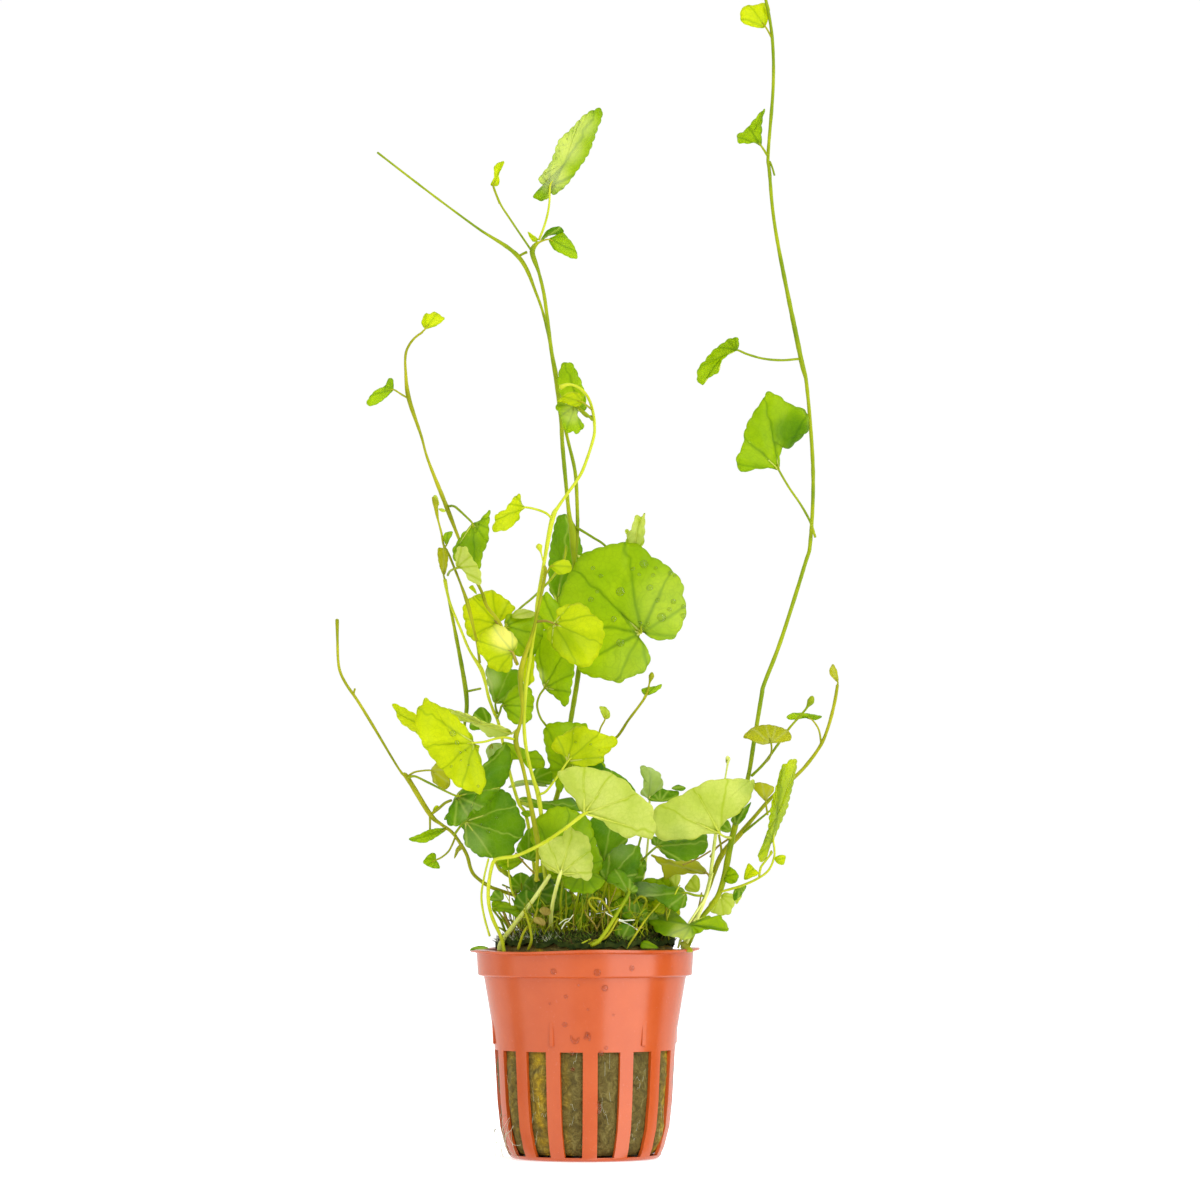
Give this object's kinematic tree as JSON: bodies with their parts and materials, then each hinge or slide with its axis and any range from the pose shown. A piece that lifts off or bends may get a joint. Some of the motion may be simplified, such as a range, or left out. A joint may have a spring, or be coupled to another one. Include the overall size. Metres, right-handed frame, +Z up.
{
  "type": "potted aquarium plant",
  "caption": "Round-leaved aquarium plant rooted in a rockwool plug in a slotted net pot, with long branching stems.",
  "frame": {"origin": "centre of the pot's underside", "axes": "+Z up along the pot's axis; -Y towards the front, as the plant is seen in the picture; +X to the right in that view"},
  "size_m": [0.1281, 0.0681, 0.3011],
  "materials": {
    "pot": "satin",
    "rockwool": "matte",
    "stem": "satin",
    "leaf_upper": "satin",
    "leaf_under": "satin"
  },
  "bodies": {
    "root": {"pot": "pot", "rockwool": "rockwool", "stem_tall_right": "stem", "stem_branch_right": "stem", "stem_side_right": "stem", "stem_bud_right": "stem", "stem_stalk_right": "stem", "stem_tall_centre": "stem", "stem_twin_centre": "stem", "stem_lower_centre": "stem", "stem_looped": "stem", "stem_tall_left": "stem", "stem_thin_left": "stem", "stem_yellow_left": "stem", "stem_dark_left": "stem", "stem_far_left": "stem", "stem_thick_base": "stem", "shoot_centre": "stem", "leaf_right_high": "leaf_upper", "leaf_right_curled": "leaf_upper", "leaf_right_folded": "leaf_upper", "leaf_top_long": "leaf_under", "leaf_loop_back": "leaf_upper", "leaf_loop_front": "leaf_upper", "leaf_left_high": "leaf_upper", "leaf_left_pale": "leaf_under", "leaf_loop_side": "leaf_upper", "leaf_left_broad": "leaf_upper", "leaf_left_veined": "leaf_upper", "leaf_left_turned": "leaf_under", "leaf_left_shaded": "leaf_upper", "leaf_left_low": "leaf_upper", "leaf_centre_heart": "leaf_upper", "leaf_centre_round": "leaf_upper", "leaf_centre_bright": "leaf_upper", "leaf_centre_crumpled": "leaf_under", "leaf_centre_dark": "leaf_upper", "leaf_centre_low": "leaf_upper", "leaf_centre_back": "leaf_upper", "leaf_centre_grey": "leaf_under", "leaf_outer_bright": "leaf_upper", "leaf_outer_back": "leaf_upper", "leaf_outer_edge": "leaf_under", "leaf_outer_crinkled": "leaf_upper", "leaf_front_pale": "leaf_under", "leaf_front_dark": "leaf_upper", "leaf_front_underside": "leaf_under", "leaf_front_olive": "leaf_upper", "leaf_front_lip": "leaf_upper", "leaf_right_pale": "leaf_under", "leaf_right_dark": "leaf_upper", "leaf_right_saddle": "leaf_upper", "leaf_right_olive": "leaf_upper", "leaf_rim_saddle": "leaf_upper", "leaf_base_shiny": "leaf_upper", "leaf_base_dark": "leaf_upper", "leaf_right_hanging": "leaf_under", "leaf_right_upright": "leaf_upper", "leaf_base_left": "leaf_upper"}
  },
  "joints": []
}
